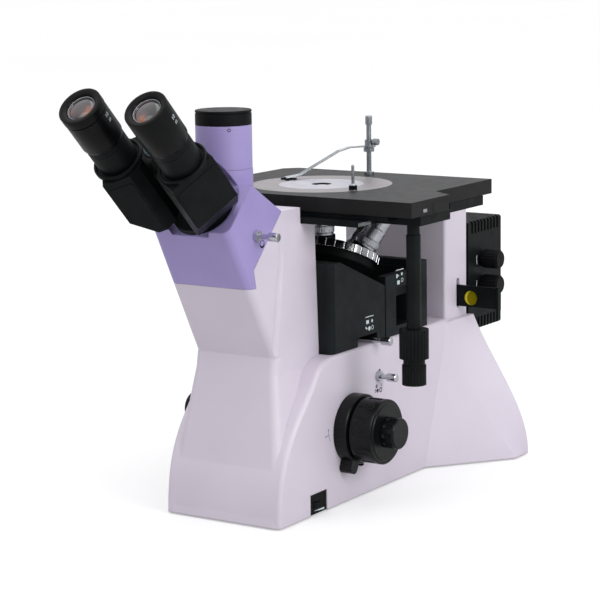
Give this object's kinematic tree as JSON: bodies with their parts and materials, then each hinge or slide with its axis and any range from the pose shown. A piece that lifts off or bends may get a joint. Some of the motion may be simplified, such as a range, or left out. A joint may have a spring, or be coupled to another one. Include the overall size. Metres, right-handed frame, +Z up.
{
  "type": "inverted microscope",
  "caption": "Inverted reflected-light microscope: cast stand, trinocular head, turret under a mechanical stage, coaxial focus, rear lamp house.",
  "frame": {"origin": "on the bench plane, under the axis of the objective in use", "axes": "+Z up, -Y towards the user, +X to the user's right"},
  "size_m": [0.2831, 0.6022, 0.4124],
  "materials": {
    "body_paint": "pale lilac powder coat",
    "head_paint": "violet powder coat",
    "black_anodised": "black satin anodising",
    "black_plastic": "black moulded plastic",
    "chrome": "bright nickel plate",
    "rubber": "matt black",
    "stage_ring": "pale grey satin",
    "glass": "polished",
    "steel": "zinc plated"
  },
  "bodies": {
    "root": {"stand_casting": "body_paint", "base_plate": "steel", "rubber_feet": "rubber", "control_panel": "black_plastic", "rear_panel": "black_plastic", "power_inlet": "black_plastic", "focus_guide": "steel", "housing_cover": "black_anodised", "illuminator_block": "black_anodised", "filter_block": "black_anodised", "rod_bushings": "chrome", "head_body": "head_paint", "phototube": "head_paint", "binocular_hub": "black_anodised", "hub_cap": "black_anodised", "stage_base": "black_anodised", "lamp_house": "black_anodised", "collector_tube": "black_anodised", "lamp_socket": "black_plastic", "lamp_bulb": "glass"},
    "right_arm": {"arm_right": "black_anodised", "eyepiece_tube_right": "black_anodised"},
    "left_arm": {"arm_left": "black_anodised", "eyepiece_tube_left": "black_anodised"},
    "right_eyepiece": {"eyepiece_right": "black_plastic"},
    "left_eyepiece": {"eyepiece_left": "black_plastic"},
    "photo_cap": {"phototube_cap": "black_plastic"},
    "head_selector": {"head_rod": "chrome"},
    "path_selector": {"light_path_rod": "chrome"},
    "contrast_selector": {"contrast_rod": "chrome"},
    "coarse": {"coarse_shaft": "steel", "coarse_knobs": "black_plastic"},
    "fine": {"fine_drive": "black_plastic"},
    "tension": {"tension_collar": "black_plastic"},
    "dimmer": {"brightness_wheel": "black_plastic"},
    "switch": {"power_switch": "black_plastic"},
    "upper_lamp_knob": {"lamp_knob_upper": "black_plastic"},
    "lower_lamp_knob": {"lamp_knob_lower": "black_plastic"},
    "filter_holder": {"filter_slider": "black_anodised", "filter_glasses": "glass"},
    "carrier": {"nosepiece_carrier": "black_anodised"},
    "nosepiece": {"turret": "black_anodised", "turret_grip": "chrome", "objective_5x": "chrome", "objective_10x": "chrome", "objective_20x": "chrome", "objective_50x": "chrome"},
    "carriage": {"stage_carriage": "black_anodised", "drive_sleeve": "black_anodised"},
    "y_drive": {"y_knob": "black_anodised"},
    "x_drive": {"x_knob": "black_anodised"},
    "table": {"stage_plate": "black_anodised", "clamp_post": "chrome"},
    "turntable": {"ring_plate": "stage_ring", "stage_insert": "stage_ring", "ring_pin": "chrome"},
    "clamp_slider": {"clamp_collar": "chrome"},
    "clamp_spring": {"clamp_arm": "chrome", "clamp_foot": "black_anodised"}
  },
  "joints": [
    {"name": "right_arm_swing", "type": "hinge", "parent": "root", "child": "right_arm", "pos_m": [0, -0.1656, 0.2661], "axis": [0, -0.7071, 0.7071], "range_deg": [-20.8, 8.5]},
    {"name": "left_arm_swing", "type": "hinge", "parent": "root", "child": "left_arm", "pos_m": [0, -0.1656, 0.2661], "axis": [0, -0.7071, 0.7071], "range_deg": [-8.5, 20.8]},
    {"name": "right_eyepiece_pull", "type": "slide", "parent": "right_arm", "child": "right_eyepiece", "axis": [0, -0.7071, 0.7071], "range_m": [0, 0.019]},
    {"name": "left_eyepiece_pull", "type": "slide", "parent": "left_arm", "child": "left_eyepiece", "axis": [0, -0.7071, 0.7071], "range_m": [0, 0.019]},
    {"name": "phototube_cap_lift", "type": "slide", "parent": "root", "child": "photo_cap", "axis": [0, 0, 1], "range_m": [0, 0.03]},
    {"name": "head_rod_pull", "type": "slide", "parent": "root", "child": "head_selector", "axis": [1, 0, 0], "range_m": [0, 0.01]},
    {"name": "light_path_pull", "type": "slide", "parent": "root", "child": "path_selector", "axis": [1, 0, 0], "range_m": [-0.006, 0.01]},
    {"name": "contrast_pull", "type": "slide", "parent": "root", "child": "contrast_selector", "axis": [1, 0, 0], "range_m": [-0.004, 0.006]},
    {"name": "nosepiece_lift", "type": "slide", "parent": "root", "child": "carrier", "axis": [0, 0, 1], "range_m": [-0.002, 0.0055]},
    {"name": "coarse_turn", "type": "hinge", "parent": "root", "child": "coarse", "pos_m": [0, -0.053, 0.0727], "axis": [1, 0, 0], "range_deg": [-60, 60]},
    {"name": "fine_turn", "type": "hinge", "parent": "root", "child": "fine", "pos_m": [0, -0.053, 0.0727], "axis": [1, 0, 0], "continuous": true},
    {"name": "tension_turn", "type": "hinge", "parent": "root", "child": "tension", "pos_m": [0, -0.053, 0.0727], "axis": [1, 0, 0], "range_deg": [-30, 30]},
    {"name": "brightness_turn", "type": "hinge", "parent": "root", "child": "dimmer", "pos_m": [0.0575, -0.118, 0.011], "axis": [0, 0, 1], "range_deg": [-135, 135]},
    {"name": "power_rocker", "type": "hinge", "parent": "root", "child": "switch", "pos_m": [-0.022, 0.1875, 0.0525], "axis": [1, 0, 0], "range_deg": [0, 12]},
    {"name": "upper_lamp_knob_turn", "type": "hinge", "parent": "root", "child": "upper_lamp_knob", "pos_m": [0.061, 0.22, 0.201], "axis": [1, 0, 0], "range_deg": [-180, 180]},
    {"name": "lower_lamp_knob_turn", "type": "hinge", "parent": "root", "child": "lower_lamp_knob", "pos_m": [0.061, 0.22, 0.174], "axis": [1, 0, 0], "range_deg": [-180, 180]},
    {"name": "filter_slide", "type": "slide", "parent": "root", "child": "filter_holder", "axis": [1, 0, 0], "range_m": [-0.0385, 0.03]},
    {"name": "turret_turn", "type": "hinge", "parent": "carrier", "child": "nosepiece", "pos_m": [0, 0, 0.175], "axis": [0, 0.4226, 0.9063], "continuous": true},
    {"name": "stage_y", "type": "slide", "parent": "root", "child": "carriage", "axis": [0, 1, 0], "range_m": [-0.015, 0.015]},
    {"name": "stage_x", "type": "slide", "parent": "carriage", "child": "table", "axis": [1, 0, 0], "range_m": [-0.015, 0.015]},
    {"name": "y_knob_turn", "type": "hinge", "parent": "carriage", "child": "y_drive", "pos_m": [0.14, -0.061, 0], "axis": [0, 0, 1], "range_deg": [-240, 240]},
    {"name": "x_knob_turn", "type": "hinge", "parent": "carriage", "child": "x_drive", "pos_m": [0.14, -0.061, 0], "axis": [0, 0, 1], "range_deg": [-240, 240]},
    {"name": "ring_plate_turn", "type": "hinge", "parent": "table", "child": "turntable", "pos_m": [0, 0, 0], "axis": [0, 0, 1], "range_deg": [-180, 120]},
    {"name": "clamp_height", "type": "slide", "parent": "table", "child": "clamp_slider", "axis": [0, 0, 1], "range_m": [0, 0.01]},
    {"name": "clamp_swing", "type": "hinge", "parent": "clamp_slider", "child": "clamp_spring", "pos_m": [0, 0.0905, 0], "axis": [0, 0, 1], "range_deg": [-60, 66]}
  ],
  "couplings": [
    {"joint": "left_arm_swing", "follows": "right_arm_swing", "ratio": -1},
    {"joint": "coarse_turn", "follows": "nosepiece_lift", "rad_per_m": 166.67},
    {"joint": "y_knob_turn", "follows": "stage_y", "rad_per_m": 277.8},
    {"joint": "x_knob_turn", "follows": "stage_x", "rad_per_m": 277.8}
  ]
}
